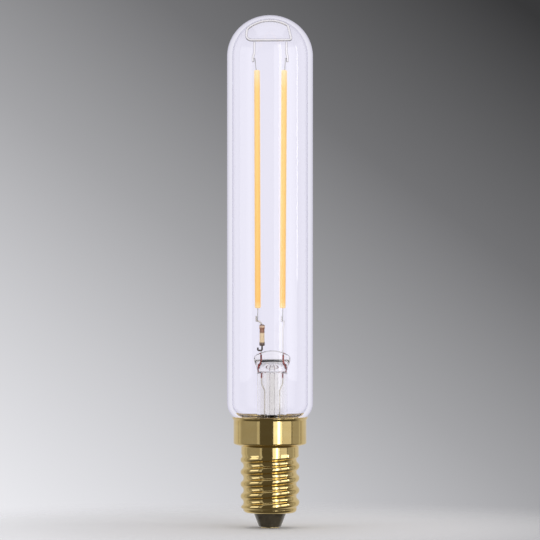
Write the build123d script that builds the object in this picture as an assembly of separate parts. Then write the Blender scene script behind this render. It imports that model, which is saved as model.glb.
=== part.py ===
from build123d import *
import math
import os

# Tubular LED filament lamp with a small Edison screw cap (E14).
# Millimetres. The origin is on the lamp's axis, at the bottom face of the centre contact.
# +Z points to the dome, the two filaments stand side by side along X, and -Y is the front.

# Glass envelope
lamp_length = 119.5
glass_radius = 10.0
glass_wall = 1.2
dome_wall = 0.8
shoulder_radius = 4.2
shoulder_above_rim = 3.15
neck_radius = 7.6
neck_depth_in_cap = 5.0

# Screw cap, drawn and rolled from thin brass sheet
sheet = 0.25
rim_height = 25.9
lip_radius = 8.85
lip_height = 0.5
skirt_radius = 8.5
skirt_length = 5.8
skirt_corner = 0.5
step_height = 0.6
cap_neck_radius = 6.725
cap_neck_length = 1.6
thread_pitch = 2.822
thread_major_radius = 6.88
thread_minor_radius = 6.2
crest_below_neck = 0.84
shell_bottom = 3.55
bottom_flat_radius = 5.2
bottom_corner_height = 0.35

# Cap insulator, centre contact, solder and cement
insulator_hole_radius = 3.8
insulator_tip_radius = 2.6
insulator_fit = 0.05
insulator_inner_thickness = 1.9
contact_thickness = 0.3
contact_radius = 2.2
barrel_radius = 1.0
barrel_bore_radius = 0.5
solder_depth = 1.2
cement_height = 3.9

# Stem: flare, tube, press and exhaust tube in one piece of glass
stem_x = 0.5
stem_radius = 3.53
stem_wall = 0.7
flare_radius = 7.1
flare_height = 4.3
flare_throat_radius = 5.6
press_width = 8.4
press_thickness = 2.8
press_crown_radius = 7.8
press_height = 2.15
press_shoulder = 2.0
press_solid_below = 0.6
exhaust_radius = 1.28
exhaust_bore_radius = 0.55
exhaust_tip_below_glass = 4.3
exhaust_tip_length = 1.6
exhaust_hole_radius = 0.5

# Wires in and above the stem
lead_radius = 0.2
lead_half_spacing = 2.5
lead_rise = 7.05
dumet_length = 5.3
dumet_below_press_top = 1.05
outer_lead_radius = 0.175
outer_lead_half_spacing = 1.75
outer_lead_straight = 1.2
outer_lead_crank = 1.8
hook_leg = 1.0
hook_offset = 0.32

# Top hoop: a straight bar closed by an arch that follows the dome
hoop_wire_radius = 0.35
hoop_clearance = 0.08
hoop_bar_below_top = 5.8
hoop_left = -5.65
hoop_right = 5.0
hoop_arch_end = 4.2
hoop_arch_runs = 9
link_wire_radius = 0.3
link_drop = 4.15
left_link_x = -3.65
right_link_x = 3.85

# Filaments and their flat metal tabs
filament_length = 55.5
filament_radius = 0.68
filament_end_chamfer = 0.22
left_filament_x = (-2.84, -3.03)
right_filament_x = (2.94, 3.31)
carrier_thickness = 0.3
carrier_width = 0.8
chip_count = 16
chip_length = 1.2
chip_width = 0.5
chip_thickness = 0.15
tab_thickness = 0.25
tab_width = 0.9
tab_gap = 0.01
top_tab_length = 2.85
bottom_tab_length = 2.8
left_top_tab_x = (-3.22, -3.55)
right_top_tab_x = (3.42, 3.66)
left_bottom_tab_x = (-2.9, -2.84)
right_bottom_tab_x = (2.94, 2.98)

# Ballast resistor on the left lead
resistor_x = -1.85
resistor_above_press = 1.05
resistor_length = 5.0
resistor_radius = 0.58
resistor_end_radius = 0.65
resistor_end_length = 1.0
resistor_hook_drop = 1.05
resistor_hook_x = -2.85
resistor_hook_rise = 0.7

# Driver inside the cap
board_thickness = 0.8
board_front_y = 0.6
board_fit = 0.1
board_height = 10.0
pad_overlap = 1.0
wire_radius = 0.2
live_wire_radius = 0.3
live_wire_rise = 0.7
live_pad_x = 1.9
live_pad_length = 1.6
neutral_pad_x = 4.1
neutral_wire_drop = 0.6
rectifier_size = (4.7, 1.5, 3.9)
rectifier_below_board_top = 1.0
driver_chip_size = (4.5, 1.5, 2.5)
driver_chip_lift = 2.0
chip_resistor_size = (3.2, 0.6, 1.6)
chip_resistor_x = 2.6
chip_resistor_lift = 3.0
chip_resistor_spacing = 2.0
chip_resistor_count = 3

# Heights and radii that follow from the sizes above
dome_centre = lamp_length - glass_radius
inner_radius = glass_radius - glass_wall
inner_dome_centre = lamp_length - dome_wall - inner_radius
shoulder_height = rim_height + shoulder_above_rim
shoulder_centre = glass_radius - shoulder_radius
glass_bottom = rim_height - neck_depth_in_cap
lip_bottom = rim_height - lip_height
skirt_bottom = lip_bottom - skirt_length
cap_neck_top = skirt_bottom - step_height
thread_top = cap_neck_top - cap_neck_length
insulator_seat = shell_bottom + sheet
insulator_corner = insulator_seat + bottom_corner_height
insulator_top = insulator_corner + insulator_inner_thickness
shell_inside_radius = thread_minor_radius - sheet
bar_height = lamp_length - hoop_bar_below_top
top_tab_end = bar_height - link_drop
filament_top = top_tab_end - top_tab_length
filament_bottom = filament_top - filament_length
bottom_tab_end = filament_bottom - bottom_tab_length
press_top = bottom_tab_end - lead_rise
resistor_bottom = press_top + resistor_above_press
press_bottom = press_top - press_height
shoulder_bottom = press_bottom - press_shoulder
cavity_top = shoulder_bottom - press_solid_below
flare_bottom = glass_bottom - stem_wall
exhaust_tip_height = glass_bottom - exhaust_tip_below_glass
dumet_top = press_top - dumet_below_press_top
dumet_bottom = dumet_top - dumet_length
board_top = insulator_top + board_height
board_back_y = board_front_y + board_thickness


def turned(*edges):
    """Solid of revolution about the lamp's axis from edges drawn as (radius, height)."""
    return revolve(Plane.XZ * make_face([*edges]), Axis.Z)


def turned_polygon(*points):
    """Solid of revolution about the lamp's axis from corner points (radius, height)."""
    return turned(Polyline(*points, close=True))


def tube(outer, inner, low, high):
    """Plain ring or tube on the lamp's axis."""
    return turned_polygon((inner, low), (outer, low), (outer, high), (inner, high))


def rod(x, low, high, radius):
    """Upright round rod or hole."""
    return Pos(x, 0, low) * Cylinder(radius, high - low, align=(Align.CENTER, Align.CENTER, Align.MIN))


def block(size, x, y, z):
    """Box centred on x, with its lowest y and z faces given."""
    return Pos(x, y, z) * Box(*size, align=(Align.CENTER, Align.MIN, Align.MIN))


def wire_along(path, radius):
    """Round wire along a path, mitred where the path turns a corner."""
    section = Plane(origin=path @ 0, z_dir=path % 0) * Circle(radius)
    return sweep(section, path=path, transition=Transition.RIGHT)


# Glass envelope: a tube with a domed top, drawn in to a neck that goes down into the cap
def shoulder_arc(arc_radius, neck):
    """Arc of the shoulder from a neck radius out to the straight tube, with its ends."""
    slope = math.asin((neck - shoulder_centre) / arc_radius) - math.pi / 2
    angles = (slope, slope / 2, 0)
    return [
        (shoulder_centre + arc_radius * math.cos(angle), shoulder_height + arc_radius * math.sin(angle))
        for angle in angles
    ]


def glass_envelope():
    """Tube with a round dome, drawn in below to a neck, thinner at the top of the dome."""
    neck_end, middle, tube_end = shoulder_arc(shoulder_radius, neck_radius)
    outside = turned(
        Polyline((0, glass_bottom), (neck_radius, glass_bottom), neck_end),
        ThreePointArc(neck_end, middle, tube_end),
        Line(tube_end, (glass_radius, dome_centre)),
        CenterArc((0, dome_centre), glass_radius, 0, 90),
        Line((0, lamp_length), (0, glass_bottom)),
    )
    inner_neck = neck_radius - glass_wall
    inner_shoulder = shoulder_arc(shoulder_radius - glass_wall, inner_neck)
    inside = turned(
        Polyline((0, glass_bottom), (inner_neck, glass_bottom), *inner_shoulder),
        Line((inner_radius, shoulder_height), (inner_radius, inner_dome_centre)),
        CenterArc((0, inner_dome_centre), inner_radius, 0, 90),
        Line((0, inner_dome_centre + inner_radius), (0, glass_bottom)),
    )
    return outside - inside


# Cap shell
def thread_profile():
    """Crests and roots of the rolled thread, from the cap's bottom corner up to its plain neck."""
    top_crest = thread_top - crest_below_neck
    corner_top = shell_bottom + bottom_corner_height
    turns = int((top_crest - corner_top) / thread_pitch) + 1
    points = [(bottom_flat_radius, shell_bottom), (thread_minor_radius, corner_top)]
    for number in range(turns):
        crest = top_crest - (turns - 1 - number) * thread_pitch
        if number:
            points.append((thread_minor_radius, crest - thread_pitch / 2))
        points.append((thread_major_radius, crest))
    return points


def cap_shell():
    """Threaded part, plain neck, stepped skirt and flared lip, all one sheet."""
    outside = turned_polygon(
        (0, shell_bottom),
        *thread_profile(),
        (cap_neck_radius, thread_top),
        (cap_neck_radius, cap_neck_top),
        (skirt_radius - skirt_corner, skirt_bottom),
        (skirt_radius, skirt_bottom + skirt_corner),
        (skirt_radius, lip_bottom),
        (lip_radius, rim_height),
        (0, rim_height),
    )
    inside = turned_polygon(
        (0, insulator_seat),
        (bottom_flat_radius, insulator_seat),
        (shell_inside_radius, insulator_corner),
        (shell_inside_radius, thread_top),
        (cap_neck_radius - sheet, thread_top),
        (cap_neck_radius - sheet, cap_neck_top + sheet),
        (skirt_radius - sheet, skirt_bottom + skirt_corner),
        (skirt_radius - sheet, lip_bottom),
        (lip_radius - sheet, rim_height),
        (0, rim_height),
    )
    hole = rod(0, shell_bottom, insulator_seat, insulator_hole_radius)
    return outside - inside - hole


def cap_insulator():
    """Black glass plug: a cone below the shell, a shoulder in its hole and a disc inside it."""
    rim = shell_inside_radius - insulator_fit
    return turned_polygon(
        (barrel_radius, contact_thickness),
        (insulator_tip_radius, contact_thickness),
        (insulator_hole_radius, shell_bottom),
        (insulator_hole_radius, insulator_seat),
        (bottom_flat_radius - insulator_fit, insulator_seat),
        (rim, insulator_corner),
        (rim, insulator_top),
        (barrel_radius, insulator_top),
    )


def centre_contact():
    """Brass eyelet: a flat flange and a barrel through the insulator."""
    flange = tube(contact_radius, barrel_bore_radius, 0, contact_thickness)
    return flange + tube(barrel_radius, barrel_bore_radius, contact_thickness, insulator_top)


def contact_solder():
    """Solder that closes the eyelet's bore, flush with the contact's face."""
    return rod(0, 0, solder_depth, barrel_bore_radius)


def basing_cement():
    """Ring of cement between the glass neck and the skirt."""
    return tube(skirt_radius - sheet, neck_radius, glass_bottom, glass_bottom + cement_height)


# Stem
def stem_tube():
    """Flare and tube, closed above by the solid glass under the press."""
    inside = stem_radius - stem_wall
    flare_top = glass_bottom + flare_height
    return turned_polygon(
        (flare_throat_radius - stem_wall, flare_bottom),
        (flare_radius, flare_bottom),
        (flare_radius, glass_bottom),
        (flare_throat_radius, glass_bottom),
        (stem_radius, flare_top),
        (stem_radius, shoulder_bottom),
        (0, shoulder_bottom),
        (0, cavity_top),
        (inside, cavity_top),
        (inside, flare_top),
    )


def press():
    """Glass pinched flat above the tube: round below, wide and thin above, with a crowned top."""
    half_width = press_width / 2
    half_thickness = press_thickness / 2
    blank = turned_polygon(
        (0, shoulder_bottom),
        (stem_radius, shoulder_bottom),
        (half_width, press_bottom),
        (half_width, press_top),
        (0, press_top),
    )
    pinch = Polyline(
        (-half_width, shoulder_bottom),
        (half_width, shoulder_bottom),
        (half_thickness, press_bottom),
        (half_thickness, press_top),
        (-half_thickness, press_top),
        (-half_thickness, press_bottom),
        close=True,
    )
    jaws = extrude(Plane.YZ * make_face(pinch), half_width, both=True)
    crown = Pos(0, 0, press_top - press_crown_radius) * Rot(90, 0, 0)
    crown = crown * Cylinder(press_crown_radius, press_width)
    return blank & jaws & crown


def exhaust_tube():
    """Thin tube down the middle, drawn to a closed tip where the lamp was sealed off."""
    return turned_polygon(
        (0, exhaust_tip_height),
        (exhaust_radius / 3, exhaust_tip_height),
        (exhaust_radius, exhaust_tip_height + exhaust_tip_length),
        (exhaust_radius, shoulder_bottom),
        (0, shoulder_bottom),
    )


def glass_stem():
    """The fused stem with its exhaust bore, side hole and the two wire holes through the press."""
    bore = rod(0, exhaust_tip_height + exhaust_tip_length, shoulder_bottom, exhaust_bore_radius)
    side_hole = Pos(0, 0, shoulder_bottom) * Rot(90, 0, 0)
    side_hole = side_hole * rod(0, 0, 2 * stem_radius, exhaust_hole_radius)
    stem = stem_tube() + press() + exhaust_tube() - bore - side_hole
    for side in (-1, 1):
        stem -= rod(side * lead_half_spacing, dumet_bottom, press_top, lead_radius)
    return Pos(stem_x, 0, 0) * stem


# Wires through the stem
def dumet_seal(side):
    """Copper-clad wire that seals to the glass of the press."""
    return rod(stem_x + side * lead_half_spacing, dumet_bottom, dumet_top, lead_radius)


def outer_lead(side):
    """From the seal down beside the exhaust tube, out of the flare and on to the driver board."""
    wide = stem_x + side * lead_half_spacing
    near = stem_x + side * outer_lead_half_spacing
    pad_y = board_front_y - outer_lead_radius
    points = [
        (wide, 0, dumet_bottom),
        (wide, 0, dumet_bottom - outer_lead_straight),
        (near, 0, dumet_bottom - outer_lead_straight - outer_lead_crank),
        (near, 0, flare_bottom),
        (near, pad_y, board_top),
        (near, pad_y, board_top - pad_overlap),
    ]
    return wire_along(Polyline(*points), outer_lead_radius)


def left_lead_in():
    """Short stub to which the resistor's lower lead is welded."""
    weld = resistor_bottom - resistor_hook_drop - lead_radius
    return rod(stem_x - lead_half_spacing, dumet_top, weld, lead_radius)


def right_lead_in():
    """Straight up from the press, bent under the right filament's lower tab and up beside it."""
    start_x = stem_x + lead_half_spacing
    bar = bottom_tab_end - lead_radius
    near = right_bottom_tab_x[0] + hook_offset
    far = right_bottom_tab_x[0] - tab_thickness / 2 - lead_radius
    points = [
        (start_x, 0, dumet_top),
        (start_x, 0, bar - 2 * hook_leg),
        (near, 0, bar - hook_leg),
        (near, 0, bar),
        (far, 0, bar),
        (far, 0, bottom_tab_end + hook_leg),
    ]
    return wire_along(Polyline(*points), lead_radius)


# Ballast resistor with its two bent leads
def ballast_resistor():
    """Ceramic body, slightly thicker over its two end caps."""
    top = resistor_bottom + resistor_length
    end = resistor_end_length
    return Pos(resistor_x, 0, 0) * turned_polygon(
        (0, resistor_bottom),
        (resistor_end_radius, resistor_bottom),
        (resistor_end_radius, resistor_bottom + end),
        (resistor_radius, resistor_bottom + end),
        (resistor_radius, top - end),
        (resistor_end_radius, top - end),
        (resistor_end_radius, top),
        (0, top),
    )


def resistor_top_lead():
    """Up from the resistor, bent under the left filament's lower tab and up beside it."""
    bar = bottom_tab_end - lead_radius
    near = left_bottom_tab_x[0] + hook_offset
    far = left_bottom_tab_x[0] - tab_thickness / 2 - lead_radius
    points = [
        (resistor_x, 0, resistor_bottom + resistor_length),
        (near, 0, bar),
        (far, 0, bar),
        (far, 0, bottom_tab_end + hook_leg),
    ]
    return wire_along(Polyline(*points), lead_radius)


def resistor_bottom_lead():
    """Down to the weld on the left lead-in wire, with its spare end bent back up."""
    bar = resistor_bottom - resistor_hook_drop
    points = [
        (resistor_x, 0, resistor_bottom),
        (resistor_x, 0, bar),
        (resistor_hook_x, 0, bar),
        (resistor_hook_x, 0, bar + resistor_hook_rise),
    ]
    return wire_along(Polyline(*points), lead_radius)


# Filaments: a strip of chips on a carrier, inside a coat of yellow silicone
def filament_frame(side):
    """Plane on a filament's axis at its lower end, leaning as its two ends are placed."""
    low_x, high_x = left_filament_x if side < 0 else right_filament_x
    lean = (high_x - low_x, 0, filament_length)
    return Plane(origin=(low_x, 0, filament_bottom), x_dir=(0, -side, 0), z_dir=lean)


def carrier_strip():
    """Strip along the filament's axis, from end to end of the coat."""
    size = (carrier_width, carrier_thickness, filament_length)
    return block(size, 0, -carrier_thickness / 2, 0)


def chip_row():
    """Light-emitting chips evenly spaced along one face of the carrier."""
    step = filament_length / chip_count
    size = (chip_width, chip_thickness, chip_length)
    lows = [step * (number + 0.5) - chip_length / 2 for number in range(chip_count)]
    return [block(size, 0, carrier_thickness / 2, low) for low in lows]


def filament_coat(side):
    """Round silicone coat, moulded about the carrier and its chips."""
    coat = rod(0, 0, filament_length, filament_radius)
    coat = chamfer(coat.edges().filter_by(GeomType.CIRCLE), filament_end_chamfer)
    coat -= [carrier_strip(), *chip_row()]
    return filament_frame(side) * coat


def filament_carrier(side):
    """Carrier strip in its place."""
    return filament_frame(side) * carrier_strip()


def led_chips(side):
    """One filament's row of chips in its place."""
    return Compound(children=[filament_frame(side) * chip for chip in chip_row()])


def strip_tab(low_x, low_z, high_x, high_z):
    """Flat metal tab seen on edge, leaning from one end to the other."""
    half = tab_thickness / 2
    corners = [(low_x - half, low_z), (low_x + half, low_z), (high_x + half, high_z), (high_x - half, high_z)]
    return extrude(Plane.XZ * make_face(Polyline(*corners, close=True)), tab_width / 2, both=True)


def top_tab(side):
    """Tab from a filament's upper end to its link."""
    low_x, high_x = left_top_tab_x if side < 0 else right_top_tab_x
    return strip_tab(low_x, filament_top + tab_gap, high_x, top_tab_end)


def bottom_tab(side):
    """Tab from a filament's lower end down to the hook of its lead."""
    low_x, high_x = left_bottom_tab_x if side < 0 else right_bottom_tab_x
    return strip_tab(low_x, bottom_tab_end, high_x, filament_bottom - tab_gap)


# Wire hoop under the dome, and the links that hang the filaments from it
def top_hoop():
    """Closed loop: bar, slanted right side, arch under the dome and upright left side."""
    arch = inner_radius - hoop_clearance - hoop_wire_radius
    first = math.acos(hoop_arch_end / arch)
    step = (math.acos(hoop_left / arch) - first) / hoop_arch_runs
    angles = [first + step * number for number in range(hoop_arch_runs + 1)]
    curve = [(arch * math.cos(angle), 0, inner_dome_centre + arch * math.sin(angle)) for angle in angles]
    middle = (0, 0, bar_height)
    path = Polyline(middle, (hoop_right, 0, bar_height), *curve, (hoop_left, 0, bar_height), middle)
    return wire_along(path, hoop_wire_radius)


def top_link(side):
    """Down from the hoop's bar, cranked to the outer face of the filament's upper tab."""
    link_x = left_link_x if side < 0 else right_link_x
    tab_x = left_top_tab_x[1] if side < 0 else right_top_tab_x[1]
    leg_x = tab_x + side * (tab_thickness / 2 + link_wire_radius)
    points = [
        (link_x, 0, bar_height - hoop_wire_radius),
        (link_x, 0, top_tab_end + hook_leg),
        (leg_x, 0, top_tab_end + hook_leg / 3),
        (leg_x, 0, top_tab_end - hook_leg),
    ]
    return wire_along(Polyline(*points), link_wire_radius)


# Driver inside the cap
def driver_board():
    """Upright board that stands on the insulator and fills the cap from side to side."""
    half = math.sqrt(shell_inside_radius**2 - board_back_y**2) - board_fit
    return block((2 * half, board_thickness, board_height), 0, board_front_y, insulator_top)


def bridge_rectifier():
    """Block on the back of the board near its top."""
    low = board_top - rectifier_below_board_top - rectifier_size[2]
    return block(rectifier_size, 0, board_back_y, low)


def driver_chip():
    """Constant-current chip on the back of the board."""
    return block(driver_chip_size, 0, board_back_y, insulator_top + driver_chip_lift)


def chip_resistors():
    """Flat resistors in a column on the front of the board."""
    y = board_front_y - chip_resistor_size[1]
    first = insulator_top + chip_resistor_lift
    lows = [first + number * chip_resistor_spacing for number in range(chip_resistor_count)]
    return Compound(children=[block(chip_resistor_size, chip_resistor_x, y, low) for low in lows])


def live_wire():
    """Up through the contact's bore from the solder, then on to the front of the board."""
    turn = insulator_top + live_wire_rise
    pad_y = board_front_y - live_wire_radius
    points = [
        (0, 0, solder_depth),
        (0, 0, turn),
        (live_pad_x, pad_y, turn),
        (live_pad_x, pad_y, turn + live_pad_length),
    ]
    return wire_along(Polyline(*points), live_wire_radius)


def neutral_wire():
    """From the front of the board to the inside wall of the shell's neck."""
    pad_y = board_front_y - wire_radius
    wall_x = cap_neck_radius - sheet - wire_radius
    turn = cap_neck_top - neutral_wire_drop
    points = [
        (neutral_pad_x, pad_y, board_top - pad_overlap),
        (neutral_pad_x, pad_y, turn),
        (wall_x, 0, turn),
        (wall_x, 0, cap_neck_top + neutral_wire_drop),
    ]
    return wire_along(Polyline(*points), wire_radius)


pieces = {
    "glass_envelope": glass_envelope(),
    "glass_stem": glass_stem(),
    "top_hoop": top_hoop(),
    "left_top_link": top_link(-1),
    "right_top_link": top_link(1),
    "left_top_tab": top_tab(-1),
    "right_top_tab": top_tab(1),
    "left_filament_coat": filament_coat(-1),
    "right_filament_coat": filament_coat(1),
    "left_filament_carrier": filament_carrier(-1),
    "right_filament_carrier": filament_carrier(1),
    "left_led_chips": led_chips(-1),
    "right_led_chips": led_chips(1),
    "left_bottom_tab": bottom_tab(-1),
    "right_bottom_tab": bottom_tab(1),
    "ballast_resistor": ballast_resistor(),
    "resistor_top_lead": resistor_top_lead(),
    "resistor_bottom_lead": resistor_bottom_lead(),
    "left_lead_in": left_lead_in(),
    "right_lead_in": right_lead_in(),
    "left_dumet_seal": dumet_seal(-1),
    "right_dumet_seal": dumet_seal(1),
    "left_outer_lead": outer_lead(-1),
    "right_outer_lead": outer_lead(1),
    "cap_shell": cap_shell(),
    "cap_insulator": cap_insulator(),
    "centre_contact": centre_contact(),
    "contact_solder": contact_solder(),
    "basing_cement": basing_cement(),
    "driver_board": driver_board(),
    "bridge_rectifier": bridge_rectifier(),
    "driver_chip": driver_chip(),
    "chip_resistors": chip_resistors(),
    "live_wire": live_wire(),
    "neutral_wire": neutral_wire(),
}

os.makedirs("parts", exist_ok=True)
for name, piece in pieces.items():
    export_step(piece, f"parts/{name}.step")
    print(f"{name}: {len(piece.solids())} solids, {piece.volume:.3f} mm3")
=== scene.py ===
# %% [markdown]
# A tubular LED filament lamp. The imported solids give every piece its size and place.
# They come in first, and everything below is worked out in millimetres in the same frame, so a
# glass skin or a bent wire needs no fitting: it is simply computed where the solid is.

# %% Load the solids
import math
import bpy
import numpy as np
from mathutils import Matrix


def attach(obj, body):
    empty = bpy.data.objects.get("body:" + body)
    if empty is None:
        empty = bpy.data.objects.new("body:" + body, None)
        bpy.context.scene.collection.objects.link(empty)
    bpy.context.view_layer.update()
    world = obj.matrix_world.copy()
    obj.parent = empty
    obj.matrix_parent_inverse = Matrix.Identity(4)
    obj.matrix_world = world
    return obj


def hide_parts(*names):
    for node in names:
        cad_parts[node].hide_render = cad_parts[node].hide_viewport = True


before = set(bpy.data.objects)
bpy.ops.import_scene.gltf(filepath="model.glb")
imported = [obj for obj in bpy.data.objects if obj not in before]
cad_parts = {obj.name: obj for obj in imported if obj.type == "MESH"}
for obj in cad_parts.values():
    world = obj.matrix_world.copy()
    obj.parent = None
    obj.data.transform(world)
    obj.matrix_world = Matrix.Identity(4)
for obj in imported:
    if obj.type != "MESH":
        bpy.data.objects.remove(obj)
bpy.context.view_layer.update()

MM = 0.001

# %% [markdown]
# The lamp was photographed level, from far away with a long lens, so its sides look parallel.
# A short lens close by would give the same height but a bulging glass, so the long lens is kept.
# The lens value follows from the distance and from how tall the lamp stands in the picture.

# %% Place the camera
EYE_DISTANCE = 900
EYE_HEIGHT = 60.1
PIXELS_PER_MM = 4.29
PICTURE_WIDTH = 540
SENSOR_WIDTH = 36

eye = bpy.data.objects.new("level_camera", bpy.data.cameras.new("level_camera"))
eye.data.sensor_width = SENSOR_WIDTH
eye.data.lens = SENSOR_WIDTH * PIXELS_PER_MM * EYE_DISTANCE / PICTURE_WIDTH
eye.data.clip_start = 0.05
eye.location = (0, -EYE_DISTANCE * MM, EYE_HEIGHT * MM)
eye.rotation_euler = (math.radians(90), 0, 0)
bpy.context.scene.collection.objects.link(eye)
bpy.context.scene.camera = eye
print("lens:", round(eye.data.lens, 1), "mm")

# %% [markdown]
# Every new piece is a skin: rows of points, each row a ring, joined to the next row by quads.
# A ring that shrinks to one point closes the skin with a fan of triangles. Rows that run up
# the outside of a piece, with rings that turn from X to Y, give faces that point outwards.
# Working on whole arrays keeps this quick, even for a hundred thousand corners.

# %% Turn rows of rings into a mesh
def skin(name, rows, start="pole", end="pole"):
    """Joins rings, an array (row, column, xyz) in mm. An end is a pole or open, or both a loop."""
    rows = np.asarray(rows, dtype=float)
    count, columns = rows.shape[:2]
    index = np.arange(count * columns).reshape(count, columns)
    if start == "loop":
        index = np.vstack([index, index[:1]])
    low = index[:-1]
    high = index[1:]
    quads = np.stack([low, np.roll(low, -1, 1), np.roll(high, -1, 1), high], axis=-1)
    faces = quads.reshape(-1, 4).tolist()
    corners = rows.reshape(-1, 3)
    fans = []
    if start == "pole":
        fans.append((rows[0], np.roll(index[0], -1), index[0]))
    if end == "pole":
        fans.append((rows[-1], index[-1], np.roll(index[-1], -1)))
    for ring, first, second in fans:
        corners = np.vstack([corners, ring.mean(axis=0)])
        pole = np.full(columns, len(corners) - 1)
        faces += np.stack([pole, first, second], axis=-1).tolist()
    mesh = bpy.data.meshes.new(name)
    mesh.from_pydata((corners * MM).tolist(), [], faces)
    mesh.polygons.foreach_set("use_smooth", np.ones(len(mesh.polygons), dtype=bool))
    mesh.validate()
    mesh.update()
    return mesh


def place(name, mesh, slot, material, *nodes):
    """Shows a mesh as one piece that stands for CAD nodes and rides on the lamp."""
    piece = bpy.data.objects.new(name, mesh)
    bpy.context.scene.collection.objects.link(piece)
    mesh.materials.append(material)
    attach(piece, "root")
    if nodes:
        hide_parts(*nodes)
    print(name + ":", len(mesh.vertices), "corners")


# %% [markdown]
# Glass, brass caps and moulded ends are all turned forms. Their half section is a list of
# (radius, height), and each of its points is carried round the axis. The corners of a half
# section are softened with small arcs first, because a pressed or melted edge is never sharp
# and a rounded one is what catches the light.

# %% Turn a half section round the axis
NEARLY_STRAIGHT = 1.55


def ring_angles(columns):
    """Evenly spaced angles once round."""
    return np.arange(columns) * 2 * math.pi / columns


def turned(section, columns=128, x=0):
    """Each (radius, height) becomes the ring radius times (cos, sin), at that height."""
    section = np.asarray(section, dtype=float)
    around = ring_angles(columns)
    across = section[:, :1] * np.cos(around) + x
    depth = section[:, :1] * np.sin(around)
    height = np.repeat(section[:, 1:], columns, axis=1)
    return np.stack([across, depth, height], axis=-1)


def softened(points, radii, steps=6):
    """Replaces each inner corner by the arc of its radius that touches both of its runs."""
    points = np.asarray(points, dtype=float)
    out = [points[:1]]
    for before, corner, after, radius in zip(points[:-2], points[1:-1], points[2:], radii):
        back = (before - corner) / np.linalg.norm(before - corner)
        on = (after - corner) / np.linalg.norm(after - corner)
        half = math.acos(float(np.clip(back @ on, -1, 1))) / 2
        if radius <= 0 or half > NEARLY_STRAIGHT:
            out.append(corner[None])
            continue
        reach = radius / math.tan(half)
        middle = corner + (back + on) / np.linalg.norm(back + on) * radius / math.sin(half)
        first = corner + back * reach - middle
        last = corner + on * reach - middle
        sweep = math.pi - 2 * half
        share = np.linspace(0, 1, steps + 1)[:, None]
        weights = (np.sin((1 - share) * sweep), np.sin(share * sweep))
        out.append(middle + (weights[0] * first + weights[1] * last) / math.sin(sweep))
    out.append(points[-1:])
    return np.vstack(out)


# %% [markdown]
# Wires, filament coats and the resistor are one idea: a round section carried along a path,
# with a radius that may change on the way. All the visible paths lie in one upright plane, so
# the ring at each point is spanned by the plane's own normal and by the path's side direction,
# and no ring can twist. The ends shrink over a short dome, like a cut wire end that was tumbled.
# Path points that would fall inside an end's dome are left out, or their rings would fold over.

# %% Carry a round section along a path
END_STEPS = 5
CLEAR_OF_END = 1.05


def unit(vectors):
    """Each row scaled to length 1."""
    return vectors / np.linalg.norm(vectors, axis=1)[:, None]


def carried(path, radius, columns=24, closed=False, end_rounding=0.7):
    """Ring at each path point: radius times (cos of side direction plus sin of depth)."""
    path = np.asarray(path, dtype=float)
    radii = np.broadcast_to(np.asarray(radius, dtype=float), (len(path),)).copy()
    if not closed:
        turn = np.linspace(0, math.pi / 2, END_STEPS + 1)[:-1]
        reach = end_rounding * radii[0]
        foot = path[0] + (path[1] - path[0]) / np.linalg.norm(path[1] - path[0]) * reach
        lead = foot + (path[0] - foot) * np.cos(turn)[:, None]
        lead_radii = radii[0] * (1 - end_rounding + end_rounding * np.sin(turn))
        reach_end = end_rounding * radii[-1]
        back = (path[-2] - path[-1]) / np.linalg.norm(path[-2] - path[-1]) * reach_end
        tail = path[-1] + back - back * np.sin(turn + turn[1])[:, None]
        tail_radii = radii[-1] * (1 - end_rounding + end_rounding * np.cos(turn + turn[1]))
        clear = np.linalg.norm(path - path[0], axis=1) > reach * CLEAR_OF_END
        clear &= np.linalg.norm(path - path[-1], axis=1) > reach_end * CLEAR_OF_END
        path = np.vstack([lead, foot, path[clear], path[-1] + back, tail])
        radii = np.concatenate([lead_radii, radii[:1], radii[clear], radii[-1:], tail_radii])
    ahead = np.roll(path, -1, axis=0) - path
    behind = path - np.roll(path, 1, axis=0)
    if not closed:
        ahead[-1] = behind[-1]
        behind[0] = ahead[0]
    along = unit(unit(ahead) + unit(behind))
    depth = np.array([0.0, 1.0, 0.0])
    side = np.cross(depth, along)
    around = ring_angles(columns)[None, :, None]
    ring = side[:, None] * np.cos(around) + depth * np.sin(around)
    return path[:, None] + ring * radii[:, None, None]


def in_plane(points):
    """(x, z) points as (x, 0, z)."""
    points = np.asarray(points, dtype=float)
    return np.stack([points[:, 0], np.zeros(len(points)), points[:, 1]], axis=-1)


def filled(line, gap, closed=False):
    """Points about a gap apart along a line or loop, keeping its own points."""
    runs = [
        np.linspace(first, last, max(2, int(np.linalg.norm(last - first) / gap)), endpoint=False)
        for first, last in zip(line, np.roll(line, -1, axis=0) if closed else line[1:])
    ]
    return np.vstack(runs if closed else [*runs, line[-1:]])


# %% [markdown]
# Materials and the room are built from the same few nodes: a mix of two colours, a sum, a span
# of values mapped to another, and a ramp of colours. One helper makes each. An input may be a
# plain value or another node's output, so the helpers can be nested like ordinary functions.

# %% Node helpers
MIX_FIRST = 6
MIX_SECOND = 7
MIX_RESULT = 2


def feed(tree, value, socket):
    """Links an output to a socket, or sets the socket to a plain value."""
    if isinstance(value, bpy.types.NodeSocket):
        tree.links.new(value, socket)
    else:
        socket.default_value = value


def mixed(tree, factor, first, second, blend="MIX"):
    """Colour that goes from the first to the second with the factor."""
    mix = tree.nodes.new("ShaderNodeMix")
    mix.data_type = "RGBA"
    mix.blend_type = blend
    feed(tree, factor, mix.inputs["Factor"])
    feed(tree, first, mix.inputs[MIX_FIRST])
    feed(tree, second, mix.inputs[MIX_SECOND])
    return mix.outputs[MIX_RESULT]


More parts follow.
